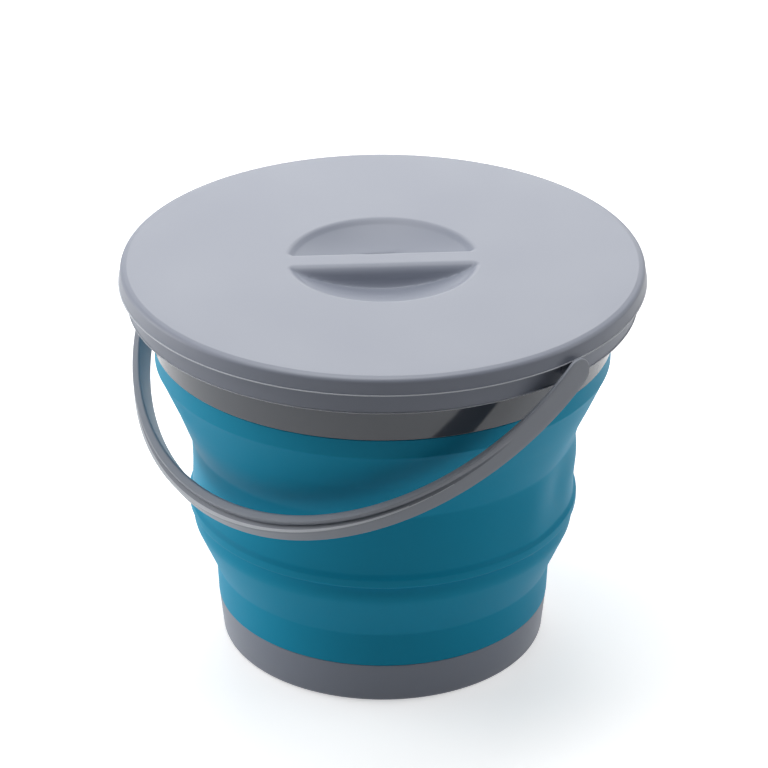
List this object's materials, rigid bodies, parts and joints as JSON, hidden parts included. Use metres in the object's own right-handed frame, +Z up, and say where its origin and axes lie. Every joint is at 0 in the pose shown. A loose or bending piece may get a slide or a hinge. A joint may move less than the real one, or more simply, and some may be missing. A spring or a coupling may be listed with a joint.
{
  "type": "collapsible bucket with lid",
  "caption": "Folding bucket: soft concentric wall between a stiff base and rim, sunk-grip lid, bail handle.",
  "frame": {"origin": "centre of the base's foot ring, on the floor, on the bucket's axis", "axes": "+Z up along the bucket's axis, X along the hinge line of the handle, the handle hangs towards -Y"},
  "size_m": [0.3256, 0.3164, 0.252],
  "materials": {
    "base_plastic": "satin moulded polypropylene",
    "rim_plastic": "polished moulded polypropylene",
    "lid_plastic": "fine matt moulded polypropylene",
    "handle_plastic": "satin moulded polypropylene",
    "soft_wall": "satin moulded thermoplastic rubber"
  },
  "bodies": {
    "base": {"base": "base_plastic", "wall_lower_band": "soft_wall"},
    "lower_web": {"wall_lower_web": "soft_wall"},
    "middle": {"wall_middle_band": "soft_wall"},
    "upper_web_inner": {"wall_upper_web_inner": "soft_wall"},
    "upper_web_outer": {"wall_upper_web_outer": "soft_wall"},
    "rim": {"rim": "rim_plastic", "wall_upper_band": "soft_wall"},
    "lid": {"lid": "lid_plastic"},
    "handle": {"handle": "handle_plastic"}
  },
  "joints": [
    {"name": "collapse", "type": "slide", "parent": "middle", "child": "rim", "axis": [0, 0, -1], "range_m": [0, 0.107]},
    {"name": "middle_fold", "type": "slide", "parent": "base", "child": "middle", "axis": [0, 0, -1], "range_m": [0, 0.078]},
    {"name": "lower_web_fold", "type": "slide", "parent": "base", "child": "lower_web", "axis": [0, 0, -1], "range_m": [0, 0.039]},
    {"name": "upper_web_inner_fold", "type": "slide", "parent": "middle", "child": "upper_web_inner", "axis": [0, 0, -1], "range_m": [0, 0.0268]},
    {"name": "upper_web_outer_fold", "type": "slide", "parent": "middle", "child": "upper_web_outer", "axis": [0, 0, -1], "range_m": [0, 0.0803]},
    {"name": "lid_lift", "type": "slide", "parent": "rim", "child": "lid", "axis": [0, 0, 1], "range_m": [0, 0.1]},
    {"name": "handle_swing", "type": "hinge", "parent": "rim", "child": "handle", "pos_m": [0, 0, 0.2335], "axis": [-1, 0, 0], "range_deg": [-4, 257]}
  ],
  "couplings": [
    {"joint": "middle_fold", "follows": "collapse", "ratio": 0.72897},
    {"joint": "lower_web_fold", "follows": "collapse", "ratio": 0.36449},
    {"joint": "upper_web_inner_fold", "follows": "collapse", "ratio": 0.25},
    {"joint": "upper_web_outer_fold", "follows": "collapse", "ratio": 0.75}
  ]
}
